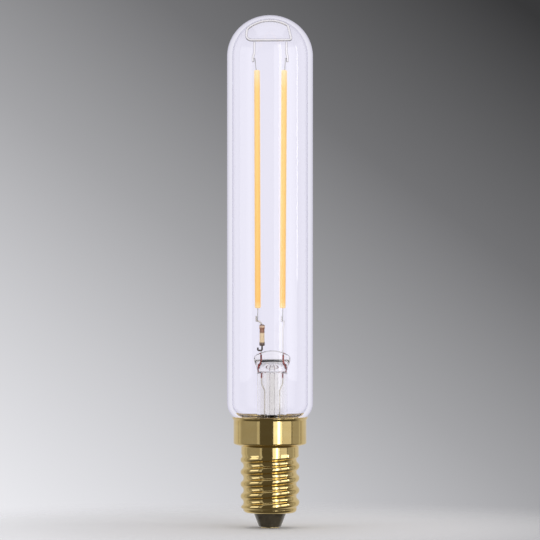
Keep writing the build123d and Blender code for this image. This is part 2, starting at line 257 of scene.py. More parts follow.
def reckoned(tree, operation, first, second):
    """Result of one Math operation on two values."""
    node = tree.nodes.new("ShaderNodeMath")
    node.operation = operation
    feed(tree, first, node.inputs[0])
    feed(tree, second, node.inputs[1])
    return node.outputs["Value"]


def mapped(tree, value, low, high, to=(0.0, 1.0), smooth=False):
    """Value that goes from one end of a span to the other while the input goes low to high."""
    span = tree.nodes.new("ShaderNodeMapRange")
    if smooth:
        span.interpolation_type = "SMOOTHSTEP"
    span.inputs["From Min"].default_value = low
    span.inputs["From Max"].default_value = high
    feed(tree, to[0], span.inputs["To Min"])
    feed(tree, to[1], span.inputs["To Max"])
    feed(tree, value, span.inputs["Value"])
    return span.outputs["Result"]


def ramped(tree, value, stops):
    """Colour that follows a value from 0 to 1, from stops of (share, colour)."""
    ramp = tree.nodes.new("ShaderNodeValToRGB")
    while len(ramp.color_ramp.elements) < len(stops):
        ramp.color_ramp.elements.new(0.5)
    for element, (share, colour) in zip(ramp.color_ramp.elements, stops):
        element.position = share
        element.color = (*colour, 1)
    tree.links.new(value, ramp.inputs["Fac"])
    return ramp.outputs["Color"]


# %% [markdown]
# Real surfaces are never even. Three effects are shared by many finishes here, so each is a
# node group that is built once: an uneven value for roughness, a drift between two tints, and
# a height for a bump. They read Object coordinates in metres, so the scales are large numbers.
# The shader itself stays in each material, with its constant values set on its own sockets.

# %% Shared effects
def start_group(name, inputs, output, kind):
    """Empty node group with float or colour inputs and one output."""
    group = bpy.data.node_groups.new(name, "ShaderNodeTree")
    for label, socket, value in inputs:
        made = group.interface.new_socket(label, in_out="INPUT", socket_type=socket)
        made.default_value = value
    group.interface.new_socket(output, in_out="OUTPUT", socket_type=kind)
    return group, group.nodes.new("NodeGroupInput"), group.nodes.new("NodeGroupOutput")


def stretched_noise(group, source, detail):
    """Noise on Object coordinates, stretched along the lamp's height by the group's input."""
    where = group.nodes.new("ShaderNodeTexCoord")
    stretch = group.nodes.new("ShaderNodeCombineXYZ")
    stretch.inputs["X"].default_value = 1
    stretch.inputs["Y"].default_value = 1
    group.links.new(source.outputs["Height Stretch"], stretch.inputs["Z"])
    scaled = group.nodes.new("ShaderNodeVectorMath")
    scaled.operation = "MULTIPLY"
    group.links.new(where.outputs["Object"], scaled.inputs[0])
    group.links.new(stretch.outputs["Vector"], scaled.inputs[1])
    noise = group.nodes.new("ShaderNodeTexNoise")
    noise.inputs["Detail"].default_value = detail
    group.links.new(scaled.outputs["Vector"], noise.inputs["Vector"])
    group.links.new(source.outputs["Scale"], noise.inputs["Scale"])
    return noise.outputs["Fac"]


def uneven_value_group():
    """Noise spread from a low to a high value."""
    floats = [("Scale", 400.0), ("Height Stretch", 1.0), ("Low", 0.1), ("High", 0.3)]
    inputs = [(label, "NodeSocketFloat", value) for label, value in floats]
    group, source, sink = start_group("uneven_value", inputs, "Value", "NodeSocketFloat")
    ends = (source.outputs["Low"], source.outputs["High"])
    value = mapped(group, stretched_noise(group, source, 3), 0.3, 0.7, ends)
    group.links.new(value, sink.inputs["Value"])
    return group


def tint_drift_group():
    """Slow drift from one tint to another over the surface."""
    inputs = [
        ("Scale", "NodeSocketFloat", 200.0),
        ("Height Stretch", "NodeSocketFloat", 1.0),
        ("Tint", "NodeSocketColor", (1, 1, 1, 1)),
        ("Other Tint", "NodeSocketColor", (1, 1, 1, 1)),
    ]
    group, source, sink = start_group("tint_drift", inputs, "Color", "NodeSocketColor")
    share = mapped(group, stretched_noise(group, source, 4), 0.35, 0.65)
    tint = mixed(group, share, source.outputs["Tint"], source.outputs["Other Tint"])
    group.links.new(tint, sink.inputs["Color"])
    return group


def ripple_group():
    """Height of drawn, rolled or moulded unevenness."""
    inputs = [("Scale", "NodeSocketFloat", 300.0), ("Height Stretch", "NodeSocketFloat", 1.0)]
    group, source, sink = start_group("ripple", inputs, "Height", "NodeSocketFloat")
    group.links.new(stretched_noise(group, source, 2), sink.inputs["Height"])
    return group


UNEVEN = uneven_value_group()
DRIFT = tint_drift_group()
RIPPLE = ripple_group()
print("shared effects:", [group.name for group in bpy.data.node_groups])


# %% [markdown]
# A finish is a Principled shader plus those effects: a drift of tint, an uneven roughness and
# a faint ripple. One helper writes that out, so the finishes below read as a list of facts
# about each material: its two tints, the span of its roughness, how fine its grain is, how the
# grain is stretched along the height, and the depth in mm and the scale of its ripple.

# %% Describe a finish
def add_effect(material, group, **values):
    """Places a shared effect in a material with its own values."""
    node = material.node_tree.nodes.new("ShaderNodeGroup")
    node.node_tree = group
    for label, value in values.items():
        node.inputs[label.replace("_", " ")].default_value = value
    return node.outputs[0]


def finish(name, tint, other, rough, grain, stretch=1.0, ripple=(0.0, 300.0), **constants):
    """Principled shader with drifting tint, uneven roughness and an optional ripple."""
    material = bpy.data.materials.new(name)
    material.use_nodes = True
    links = material.node_tree.links
    shader = material.node_tree.nodes["Principled BSDF"]
    for label, value in constants.items():
        shader.inputs[label.replace("_", " ")].default_value = value
    tints = {"Tint": (*tint, 1), "Other_Tint": (*other, 1)}
    colour = add_effect(material, DRIFT, Scale=grain, Height_Stretch=stretch, **tints)
    links.new(colour, shader.inputs["Base Color"])
    ends = {"Low": rough[0], "High": rough[1]}
    roughness = add_effect(material, UNEVEN, Scale=grain * 2, Height_Stretch=stretch, **ends)
    links.new(roughness, shader.inputs["Roughness"])
    if ripple[0]:
        height = add_effect(material, RIPPLE, Scale=ripple[1], Height_Stretch=stretch)
        bump = material.node_tree.nodes.new("ShaderNodeBump")
        bump.inputs["Strength"].default_value = 1.0
        bump.inputs["Distance"].default_value = ripple[0] * MM
        links.new(height, bump.inputs["Height"])
        links.new(bump.outputs["Normal"], shader.inputs["Normal"])
    return material


def cover(material, factor, colour):
    """Mixes a colour over the finish's own drifting tint."""
    tree = material.node_tree
    base = tree.nodes["Principled BSDF"].inputs["Base Color"]
    tree.links.new(mixed(tree, factor, base.links[0].from_socket, colour), base)


# %% [markdown]
# In the photograph a line runs just inside the outline of the glass: the inner face of the wall.
# Real refraction would hide it, so the envelope bends light very little, and a clear coat with
# the index of glass gives the reflections instead. The coat is kept to faces seen from their
# front, and fades before they turn edge on, where it would sparkle. A painted violet-grey shade
# darkens the edges, where the glass is seen edge on. Tube glass is drawn, so its waves run along
# the lamp: the height stretch is well under one. The stem was melted and pinched, so its ripple
# is rounder and a little deeper.

# %% Glass finishes
# Painted shade: a violet-grey tint laid over the glass where it is seen edge on.
PAINTED_EDGE_SHADE = (0.46, 0.45, 0.55)
PAINTED_EDGE_SHADE_BEGIN = 0.56
COAT_FADE_BEGIN = 0.55
COAT_FADE_END = 0.92


def edge_on(material, low, high, to=(0.0, 1.0)):
    """Smooth span over how nearly edge on the surface is seen."""
    facing = material.node_tree.nodes.new("ShaderNodeLayerWeight")
    facing.inputs["Blend"].default_value = 0.5
    return mapped(material.node_tree, facing.outputs["Facing"], low, high, to, smooth=True)


def coat_in_front(material):
    """Keeps the coat to faces seen from their front, and fades it before they are edge on."""
    tree = material.node_tree
    side = tree.nodes.new("ShaderNodeNewGeometry")
    front = reckoned(tree, "SUBTRACT", 1.0, side.outputs["Backfacing"])
    fade = edge_on(material, COAT_FADE_BEGIN, COAT_FADE_END, (1.0, 0.0))
    weight = reckoned(tree, "MULTIPLY", front, fade)
    tree.links.new(weight, tree.nodes["Principled BSDF"].inputs["Coat Weight"])


clear_glass = finish(
    "clear_tube_glass", (0.99, 0.985, 1.0), (0.985, 0.98, 0.998),
    rough=(0.0, 0.006), grain=90, stretch=0.15, ripple=(0.004, 160),
    Transmission_Weight=1.0, IOR=1.03, Coat_Weight=1.0, Coat_IOR=1.5, Coat_Roughness=0.0,
)
# Painted shade: the envelope's colour turns violet-grey towards its edge-on faces.
cover(clear_glass, edge_on(clear_glass, PAINTED_EDGE_SHADE_BEGIN, 1.0), (*PAINTED_EDGE_SHADE, 1))
coat_in_front(clear_glass)
stem_glass = finish(
    "pinched_stem_glass", (1.0, 0.995, 0.97), (0.99, 0.985, 0.955),
    rough=(0.0, 0.01), grain=220, stretch=0.5, ripple=(0.012, 420),
    Transmission_Weight=1.0, IOR=1.52,
)
black_glass = finish(
    "black_cap_glass", (0.050, 0.041, 0.028), (0.075, 0.063, 0.043),
    rough=(0.12, 0.28), grain=500, ripple=(0.02, 700),
    IOR=1.55, Coat_Weight=0.3, Coat_Roughness=0.08,
)

# %% [markdown]
# The cap is thin brass sheet, drawn into a cup and then rolled. Rolling leaves lines that run
# round the cap, so the grain is squeezed along the height by a factor well over one. Fresh
# brass is mirror-like, with slightly duller, browner patches where it was handled. The lead
# under the resistor is dark in the photograph, so it has a finish of its own: a near-black
# painted shade for the shade that it is seen in.

# %% Metal finishes
brass = finish(
    "rolled_brass", (0.86, 0.67, 0.31), (0.82, 0.62, 0.27),
    rough=(0.06, 0.10), grain=120, stretch=5, ripple=(0.0012, 500), Metallic=1.0,
)
contact_brass = finish(
    "contact_brass", (0.72, 0.58, 0.32), (0.6, 0.46, 0.24),
    rough=(0.25, 0.4), grain=600, ripple=(0.01, 900), Metallic=1.0,
)
nickel = finish(
    "drawn_nickel", (0.98, 0.97, 0.98), (0.92, 0.91, 0.93),
    rough=(0.08, 0.16), grain=900, stretch=0.3, ripple=(0.004, 1500), Metallic=1.0,
)
tinned = finish(
    "tinned_copper", (0.86, 0.83, 0.79), (0.72, 0.67, 0.61),
    rough=(0.2, 0.35), grain=900, stretch=0.5, ripple=(0.008, 1500), Metallic=1.0,
)
# Painted shade: a near-black finish for the lead that is seen in shade under the resistor.
painted_shade = finish(
    "oxidised_lead", (0.07, 0.06, 0.055), (0.13, 0.11, 0.10),
    rough=(0.35, 0.5), grain=900, stretch=0.5, ripple=(0.008, 1500), Metallic=0.6,
)
tab_steel = finish(
    "stamped_tab_steel", (0.62, 0.62, 0.64), (0.50, 0.50, 0.52),
    rough=(0.3, 0.42), grain=900, stretch=0.6, ripple=(0.004, 1200), Metallic=1.0,
)
seal_copper = finish(
    "copper_clad_seal", (0.62, 0.07, 0.04), (0.36, 0.03, 0.03),
    rough=(0.3, 0.5), grain=1200, stretch=0.4, ripple=(0.006, 2000), Metallic=0.0,
)
solder = finish(
    "dull_solder", (0.62, 0.62, 0.61), (0.48, 0.48, 0.47),
    rough=(0.35, 0.55), grain=900, ripple=(0.03, 900), Metallic=1.0,
)

# %% [markdown]
# The pieces inside the cap and inside the coats are hardly seen, but each still has the finish
# of its kind, so that the part looks right when the cap or a coat is hidden.

# %% Plain inner finishes
ceramic = finish(
    "carrier_ceramic", (0.82, 0.82, 0.78), (0.74, 0.74, 0.70),
    rough=(0.5, 0.65), grain=600, ripple=(0.004, 1500),
)
chip_face = finish(
    "chip_sapphire", (0.60, 0.66, 0.78), (0.50, 0.56, 0.70), rough=(0.12, 0.25), grain=1500
)
cement = finish(
    "basing_cement", (0.84, 0.79, 0.72), (0.74, 0.68, 0.60),
    rough=(0.8, 0.95), grain=700, ripple=(0.08, 900),
)
laminate = finish(
    "board_laminate", (0.58, 0.54, 0.34), (0.50, 0.46, 0.28),
    rough=(0.4, 0.55), grain=400, ripple=(0.01, 2500),
)
moulded = finish(
    "moulded_black", (0.020, 0.020, 0.022), (0.035, 0.035, 0.036),
    rough=(0.35, 0.55), grain=900, ripple=(0.01, 2500),
)
sleeved = finish(
    "sleeved_wire", (0.62, 0.62, 0.60), (0.54, 0.54, 0.52),
    rough=(0.4, 0.55), grain=700, ripple=(0.004, 900),
)


# %% [markdown]
# The coat of a filament is silicone filled with yellow phosphor. Unlit it is pale and a little
# waxy, palest at its upper end and warmer lower down. That change follows the height, so one
# ramp on the Object Z does it. A weak emission in the same colour is a painted glow, standing
# for light that the silicone scatters, though the lamp is not lit. The painted bands of the
# resistor are a ramp on the height too.

# %% Phosphor coat and resistor body
def ramp_on_height(material, low, high, stops):
    """Colour over a span of heights, in mm, from stops of (share of the span, colour)."""
    tree = material.node_tree
    where = tree.nodes.new("ShaderNodeTexCoord")
    split = tree.nodes.new("ShaderNodeSeparateXYZ")
    tree.links.new(where.outputs["Object"], split.inputs["Vector"])
    return ramped(tree, mapped(tree, split.outputs["Z"], low * MM, high * MM), stops)


FILAMENT_LOW = 51.2
FILAMENT_HIGH = 106.7
COAT_RAMP_SHARE = 0.8
# Strength of the painted glow on the unlit coats.
PAINTED_GLOW_STRENGTH = 0.34
COAT_RAMP = [
    (0.0, (0.97, 0.70, 0.34)),
    (0.03, (0.95, 0.52, 0.13)),
    (0.5, (0.97, 0.60, 0.18)),
    (0.92, (0.98, 0.64, 0.22)),
    (1.0, (1.0, 0.82, 0.50)),
]
phosphor = finish(
    "phosphor_silicone", (0.98, 0.66, 0.24), (0.95, 0.58, 0.17),
    rough=(0.4, 0.55), grain=500, stretch=0.3, ripple=(0.01, 500),
)
cover(phosphor, COAT_RAMP_SHARE, ramp_on_height(phosphor, FILAMENT_LOW, FILAMENT_HIGH, COAT_RAMP))
coat_shader = phosphor.node_tree.nodes["Principled BSDF"]
coat_colour = coat_shader.inputs["Base Color"].links[0].from_socket
# Painted glow: the coat's own colour also drives a weak emission, though the lamp is unlit.
phosphor.node_tree.links.new(coat_colour, coat_shader.inputs["Emission Color"])
coat_shader.inputs["Emission Strength"].default_value = PAINTED_GLOW_STRENGTH

RESISTOR_LOW = 42.4
RESISTOR_HIGH = 47.4
PAINT_SHARE = 0.92
PAINT_BANDS = [
    (0.0, (0.05, 0.03, 0.03)),
    (0.14, (0.12, 0.07, 0.06)),
    (0.19, (0.96, 0.74, 0.44)),
    (0.58, (0.98, 0.78, 0.50)),
    (0.63, (0.30, 0.12, 0.07)),
    (0.84, (0.36, 0.15, 0.09)),
    (0.88, (0.85, 0.62, 0.42)),
    (0.93, (0.75, 0.55, 0.40)),
    (0.96, (0.20, 0.12, 0.12)),
    (1.0, (0.16, 0.10, 0.10)),
]
resistor_paint = finish(
    "resistor_paint", (0.95, 0.72, 0.45), (0.85, 0.62, 0.38),
    rough=(0.25, 0.4), grain=900, ripple=(0.01, 1500), Coat_Weight=0.4,
)
cover(
    resistor_paint, PAINT_SHARE,
    ramp_on_height(resistor_paint, RESISTOR_LOW, RESISTOR_HIGH, PAINT_BANDS),
)

# %% [markdown]
# The envelope is one piece of tube: straight, blown to a round top, and drawn in below to the
# neck that goes into the cap. Both faces matter, because clear glass is only seen through what
# its two faces do to the light. So one half section runs from the inner crown down the inside,
# across the cut end and up the outside to the outer crown.

# %% Glass envelope
GLASS_RADIUS = 10.0
WALL = 1.2
CROWN_HEIGHT = 119.5
CROWN_WALL = 0.8
DOME_START = 109.9
SHOULDER_TOP = 29.05
SHOULDER_RADIUS = 4.2
NECK_RADIUS = 7.6
GLASS_LOW = 20.9


def quarter_oval(across, up, start, steps=56):
    """From (across, start) up to the axis: across times cos, start plus up times sin."""
    turn = np.linspace(0, math.pi / 2, steps + 1)[:-1]
    return np.stack([across * np.cos(turn), start + up * np.sin(turn)], axis=-1)


def shoulder(radius, neck, steps=22):
    """Arc from the neck out to the straight tube, about a centre inside the tube."""
    centre = GLASS_RADIUS - SHOULDER_RADIUS
    turn = np.linspace(-math.acos((neck - centre) / radius), 0, steps + 1)
    return np.stack([centre + radius * np.cos(turn), SHOULDER_TOP + radius * np.sin(turn)], axis=-1)


def glass_face(inset, crown):
    """One face of the wall, from the neck up to its crown."""
    dome = quarter_oval(GLASS_RADIUS - inset, crown - DOME_START, DOME_START)
    return np.vstack([shoulder(SHOULDER_RADIUS - inset, NECK_RADIUS - inset), dome])


def envelope_section():
    """Inner crown, inside, cut end, outside, outer crown."""
    inside = glass_face(WALL, CROWN_HEIGHT - CROWN_WALL)
    cut_end = [(NECK_RADIUS - WALL, GLASS_LOW), (NECK_RADIUS, GLASS_LOW)]
    return np.vstack([inside[::-1], cut_end, glass_face(0, CROWN_HEIGHT)])


place(
    "tube_glass", skin("tube_glass", turned(envelope_section(), 224)),
    "clear_glass", clear_glass, "glass_envelope",
)

# %% [markdown]
# The stem starts as a flared tube with a thinner exhaust tube inside it. Its top is heated and
# pinched flat over the wires. So its outer rings are round below and flattened above, and the
# flattening is just one blend value that grows with the height. The top face is crowned. The
# same skin then turns in at the flare's edge, climbs inside the tube to the closed end, and
# comes down again round the exhaust tube to its melted tip.

# %% Stem
STEM_X = 0.5
TUBE_RADIUS = 3.53
TUBE_WALL = 0.7
TUBE_RINGS = np.linspace(36.0, 25.4, 30)
FLARE_RADIUS = 7.1
FLARE_LOW = 20.2
FLARE_HEIGHT = 4.3
FLARE_RINGS = 24
FLARE_CURVE = 1.6
FLARE_LIP = 0.5
PRESS_RINGS = np.linspace(41.1, 36.4, 40)
PRESS_TOP = 41.35
PRESS_HALF_WIDTH = 4.2
PRESS_HALF_THICKNESS = 1.4
PRESS_CROWN = 7.8
PRESS_EDGE_DROP = 0.25
PRESS_SQUARENESS = 0.25
PINCH_LOW = 36.9
PINCH_HIGH = 39.4
SWELL = 0.12
SWELL_HEIGHT = 38.4
SWELL_SPREAD = 1.2
CROWN_RINGS = ((0.0, 0.0), (0.3, 0.0), (0.6, 0.0), (0.8, 0.02), (0.92, 0.08))
CAVITY_LOW = 25.2
CAVITY_TOP = 36.6
EXHAUST_RADIUS = 1.28
EXHAUST_TAPER = 18.2
EXHAUST_TIP = 16.6
EXHAUST_TIP_RADIUS = 0.45
BORE_RADIUS = 0.55
BORE_LOW = 18.3
BORE_HIGH = 37.4
NEAR_AXIS = 0.02


def smooth_rise(value, low, high):
    """0 below low, 1 above high, and an S-curve between."""
    share = np.clip((value - low) / (high - low), 0, 1)
    return share * share * (3 - 2 * share)


def crown_level(across):
    """Height of the crowned top face at a distance across from its middle."""
    return PRESS_TOP - PRESS_CROWN + np.sqrt(PRESS_CROWN**2 - across**2)


def stem_outside(columns):
    """Rings whose half width and half thickness part company as the glass gets pinched."""
    height = np.concatenate([PRESS_RINGS, TUBE_RINGS])
    pinch = smooth_rise(height, PINCH_LOW, PINCH_HIGH)[:, None]
    swell = SWELL * np.exp(-(((height - SWELL_HEIGHT) / SWELL_SPREAD) ** 2))[:, None]
    around = ring_angles(columns)
    width = TUBE_RADIUS + (PRESS_HALF_WIDTH - TUBE_RADIUS) * pinch + swell
    thickness = TUBE_RADIUS + (PRESS_HALF_THICKNESS - TUBE_RADIUS) * pinch
    power = 1 - PRESS_SQUARENESS * pinch
    across = width * np.sign(np.cos(around)) * np.abs(np.cos(around)) ** power
    depth = thickness * np.sign(np.sin(around)) * np.abs(np.sin(around)) ** power
    level = np.repeat(height[:, None], columns, axis=1)
    level = np.minimum(level, crown_level(across) - PRESS_EDGE_DROP)
    caps = [
        np.stack([across[0] * share, depth[0] * share, crown_level(across[0] * share) - drop], axis=-1)
        for share, drop in CROWN_RINGS
    ]
    return np.vstack([np.array(caps), np.stack([across, depth, level], axis=-1)])


def stem_rings(columns=144):
    """The pinched outside from the top down, then the turned flare, inside and exhaust tube."""
    inner = TUBE_RADIUS - TUBE_WALL
    flare = smooth_rise(np.linspace(0, 1, FLARE_RINGS), 0, 1) ** FLARE_CURVE
    heights = np.linspace(FLARE_LOW + TUBE_WALL + FLARE_HEIGHT, FLARE_LOW + TUBE_WALL, FLARE_RINGS)
    outside = TUBE_RADIUS + (FLARE_RADIUS - TUBE_RADIUS) * flare
    inside = inner + (FLARE_RADIUS - FLARE_LIP - inner) * flare
    flare_out = np.stack([outside, heights], axis=-1)
    flare_in = np.stack([inside, heights - TUBE_WALL * flare], axis=-1)[::-1]
    cavity = softened(
        [
            (inner, CAVITY_LOW), (inner, CAVITY_TOP), (EXHAUST_RADIUS, CAVITY_TOP),
            (EXHAUST_RADIUS, EXHAUST_TAPER), (EXHAUST_TIP_RADIUS, EXHAUST_TIP), (NEAR_AXIS, EXHAUST_TIP),
        ],
        [0.75, 0.7, 0.8, 0.3],
        10,
    )
    turned_part = turned(np.vstack([flare_out, flare_in, cavity[1:]]), columns)
    rings = np.vstack([stem_outside(columns), turned_part])
    rings[:, :, 0] += STEM_X
    return rings[::-1]


def bore_rings(columns=64):
    """The bore inside the exhaust tube: a long bubble, so its faces point into it."""
    corners = [
        (NEAR_AXIS, BORE_LOW), (BORE_RADIUS, BORE_LOW),
        (BORE_RADIUS, BORE_HIGH), (NEAR_AXIS, BORE_HIGH),
    ]
    return turned(softened(corners, [0.5, 0.5], 8)[::-1], columns, STEM_X)


def joined(name, *meshes):
    """One mesh from several closed skins."""
    corners = []
    faces = []
    count = 0
    for mesh in meshes:
        flat = np.empty(len(mesh.vertices) * 3)
        mesh.vertices.foreach_get("co", flat)
        corners.append(flat.reshape(-1, 3))
        faces += [[corner + count for corner in face.vertices] for face in mesh.polygons]
        count += len(mesh.vertices)
    whole = bpy.data.meshes.new(name)
    whole.from_pydata(np.vstack(corners).tolist(), [], faces)
    whole.polygons.foreach_set("use_smooth", np.ones(len(faces), dtype=bool))
    whole.update()
    return whole


place(
    "stem_glass", joined("stem_glass", skin("stem_skin", stem_rings()), skin("stem_bore", bore_rings())),
    "stem_glass", stem_glass, "glass_stem",
)

# %% [markdown]
# The thread of a small lamp cap is a knuckle thread: two arcs of the same radius that touch,
# one bulging out and one in, so a rolled sheet can follow it. Its radius depends only on how
# far a point is along the helix, which is its height less a share of the pitch for its angle.
# At each end the wave fades out into the plain sheet. The wall follows the wave inside, so the
# cap is one thin sheet everywhere, as the real one is.

# %% Screw cap
PITCH = 2.822
MAJOR = 6.88
MINOR = 6.2
CREST_AT_X = 14.44
THREAD_ROWS = 190
TOP_FADE = 1.3
LOW_FADE = (0.5, 1.5)
SHEET = 0.25
CAP_LOW = 3.55
CAP_HOLE = 3.8
BOTTOM_RADIUS = 6.25
BOTTOM_EDGE = CAP_LOW + 1.0
NECK_LOW = 17.4
NECK_HIGH = 19.0
CAP_NECK = 6.725
SKIRT_LOW = 19.6
SKIRT_RADIUS = 8.5
RIM = 25.9
LIP_FOOT = RIM - 0.75
LIP_SHOULDER = RIM - 0.25
LIP_RADIUS = 8.85


def knuckle(along):
    """Height of two touching arcs over one pitch, from 0 at the root to 1 at the crest."""
    depth = MAJOR - MINOR
    arc = (depth**2 + PITCH**2 / 4) / (4 * depth)
    share = np.abs((along / PITCH + 0.5) % 1.0 - 0.5) * 2
    distance = share * PITCH / 2
    near_crest = depth - (arc - np.sqrt(arc**2 - np.minimum(distance, PITCH / 4) ** 2))
    from_root = np.minimum(PITCH / 2 - distance, PITCH / 4)
    near_root = arc - np.sqrt(arc**2 - from_root**2)
    return np.where(distance < PITCH / 4, near_crest, near_root) / depth


def thread_rings(heights, inset, columns):
    """Radius from the knuckle wave at (height less pitch times turn), faded at both ends."""
    around = ring_angles(columns)
    height = heights[:, None] + 0 * around
    along = height - CREST_AT_X - PITCH * around / (2 * math.pi)
    wave = MINOR + (MAJOR - MINOR) * knuckle(along)
    top_fade = smooth_rise(height, NECK_LOW - TOP_FADE, NECK_LOW)
    low_fade = 1 - smooth_rise(height, CAP_LOW + LOW_FADE[0], CAP_LOW + LOW_FADE[1])
    radius = wave + (CAP_NECK - wave) * top_fade
    radius = radius + (BOTTOM_RADIUS - radius) * low_fade - inset
    return np.stack([radius * np.cos(around), radius * np.sin(around), height], axis=-1)


def cap_rings(columns=240):
    """Outside from the hole in the bottom up to the lip, then down inside, as a closed loop."""
    bottom = softened(
        [(CAP_HOLE, CAP_LOW), (BOTTOM_RADIUS, CAP_LOW), (BOTTOM_RADIUS, BOTTOM_EDGE)], [0.9], 10
    )[:-1]
    upper = softened(
        [
            (CAP_NECK, NECK_LOW), (CAP_NECK, NECK_HIGH), (SKIRT_RADIUS, SKIRT_LOW),
            (SKIRT_RADIUS, LIP_FOOT), (LIP_RADIUS, LIP_SHOULDER), (LIP_RADIUS - 0.12, RIM),
        ],
        [0.25, 0.45, 0.5, 0.12],
        8,
    )
    inner = softened(
        [
            (LIP_RADIUS - 0.25, RIM), (LIP_RADIUS - 0.3, LIP_SHOULDER), (SKIRT_RADIUS - SHEET, LIP_FOOT),
            (SKIRT_RADIUS - SHEET, SKIRT_LOW + 0.4), (CAP_NECK - SHEET, NECK_HIGH + SHEET),
            (CAP_NECK - SHEET, NECK_LOW),
        ],
        [0.1, 0.4, 0.25, 0.3],
        6,
    )
    inner_bottom = softened(
        [
            (BOTTOM_RADIUS - SHEET, BOTTOM_EDGE), (BOTTOM_RADIUS - SHEET, CAP_LOW + SHEET),
            (CAP_HOLE, CAP_LOW + SHEET),
        ],
        [0.65],
        8,
    )
    heights = np.linspace(BOTTOM_EDGE, NECK_LOW - 0.02, THREAD_ROWS)
    return np.vstack([
        turned(bottom, columns),
        thread_rings(heights, 0, columns),
        turned(upper, columns),
        turned(inner, columns),
        thread_rings(heights[::-2], SHEET, columns),
        turned(inner_bottom[1:], columns),
    ])


place("screw_cap", skin("screw_cap", cap_rings(), "loop", "loop"), "brass", brass, "cap_shell")

# %% [markdown]
# Black glass is melted into the cap's bottom and holds the contact. The solid is right apart
# from its edges, so the visible cone is turned again with a soft lower edge, and with a collar
# that is a little proud where the melt wetted the brass. The contact is an eyelet: a flange
# below the glass and a tube through it.

# %% Black glass and contact
GLASS_HOLE = 1.02
GLASS_TOP = 6.0
GLASS_RIM = 5.88
GLASS_RIM_FOOT = 4.2
COLLAR_RADIUS = 5.1
COLLAR_HEIGHT = 3.82
CONE_RADIUS = 3.78
CONE_TOP = 3.5
CONE_TIP_RADIUS = 2.62
CONE_TIP = 0.42
FLANGE_TOP = 0.3
FLANGE_RADIUS = 2.2
EYELET_RADIUS = 1.0
EYELET_BORE = 0.52
EYELET_TOP = 6.04

insulator_section = softened(
    [
        (GLASS_HOLE, GLASS_TOP), (GLASS_RIM, GLASS_TOP), (GLASS_RIM, GLASS_RIM_FOOT),
        (COLLAR_RADIUS, COLLAR_HEIGHT), (CONE_RADIUS, COLLAR_HEIGHT), (CONE_RADIUS, CONE_TOP),
        (CONE_TIP_RADIUS, CONE_TIP), (2.5, FLANGE_TOP), (GLASS_HOLE, FLANGE_TOP),
    ],
    [0.2, 0.2, 0.1, 0.02, 0.15, 0.2, 0.1],
    6,
)[::-1]
place(
    "cap_glass", skin("cap_glass", turned(insulator_section, 128), "loop", "loop"),
    "black_glass", black_glass, "cap_insulator",
)
contact_section = softened(
    [
        (EYELET_BORE, 0.02), (0.62, 0.0), (2.05, 0.0), (FLANGE_RADIUS, 0.14), (FLANGE_RADIUS, FLANGE_TOP),
        (EYELET_RADIUS, FLANGE_TOP), (EYELET_RADIUS, EYELET_TOP), (EYELET_BORE, EYELET_TOP),
    ],
    [0.03, 0.1, 0.08, 0.05, 0.05, 0.05],
    4,
)
place(
    "eyelet_contact", skin("eyelet_contact", turned(contact_section, 96), "loop", "loop"),
    "contact_metal", contact_brass, "centre_contact",
)

# %% [markdown]
# The filaments hang from a loop of thick wire under the dome. It was bent by hand round a
# former: one bottom corner is generous, the other is tight, and the right side leans. Bends
# are arcs that touch both runs, as wire bends are, and the bar bows very slightly.

# %% Hoop under the dome
HOOP_WIRE = 0.35
HOOP_CLEARANCE = 0.08
HOOP_RIGHT = 4.2
HOOP_LEFT = -5.35
HOOP_FLATTENING = 0.998
HOOP_GAP = 0.35
BAR_HEIGHT = 113.7
BAR_RIGHT = (5.0, BAR_HEIGHT + 0.05)
BAR_LEFT = (-5.65, BAR_HEIGHT - 0.02)
TIGHT_BEND = 0.42
GENEROUS_BEND = 1.15


def hoop_path():
    """Corner points of the loop, softened, with an arc of one radius along the top."""
    reach = GLASS_RADIUS - WALL - HOOP_CLEARANCE - HOOP_WIRE
    turn = np.linspace(math.acos(HOOP_RIGHT / reach), math.acos(HOOP_LEFT / reach), 34)
    rise = (reach - 0.01) * np.sin(turn) * HOOP_FLATTENING
    top = np.stack([reach * np.cos(turn), DOME_START + rise], axis=-1)
    right = softened(np.vstack([[(0, BAR_HEIGHT), BAR_RIGHT], top[:1]]), [TIGHT_BEND], 8)
    left = softened(np.vstack([top[-1:], [BAR_LEFT, (0, BAR_HEIGHT)]]), [GENEROUS_BEND], 10)
    shoulder_right = softened(np.vstack([right[-2:], top[2:3]]), [0.9], 8)[1:-1]
    shoulder_left = softened(np.vstack([top[-3:-2], top[-1:], left[1:2]]), [1.0], 8)[1:-1]
    loop = np.vstack([right[:-1], shoulder_right, top[3:-3], shoulder_left, left[1:-1]])
    return in_plane(filled(loop, HOOP_GAP, closed=True))


place(
    "dome_hoop", skin("dome_hoop", carried(hoop_path(), HOOP_WIRE, 28, closed=True), "loop", "loop"),
    "nickel_wire", nickel, "top_hoop",
)


# %% [markdown]
# Each filament hangs from the hoop on a short cranked wire. Below, the leads come up from the
# stem and hook round the lower tabs, the left one by way of the resistor. All of these are one
# idea with different corners, so one helper takes the corners and the bend and makes the piece.

# %% Bent wires
WIRE_GAP = 0.25
LINK_WIRE = 0.3
LINK_BEND = 0.5
LINK_CRANK_TOP = 110.6
LINK_CRANK_FOOT = 109.85
LINK_END = 108.55
LEAD_WIRE = 0.2
LEAD_FOOT = 40.3
LEFT_LEAD_TOP = 41.15
HOOK_HEIGHT = 48.2
HOOK_END = 49.4
RESISTOR_X = -1.85


def bent_wire(name, corners, bend, radius, slot, material, node):
    """Wire through (x, z) corners with one bend radius, filled with evenly spaced rings."""
    line = softened(corners, [bend] * (len(corners) - 2), 10)
    rings = carried(in_plane(filled(line, WIRE_GAP)), radius, 20)
    place(name, skin(name, rings), slot, material, node)


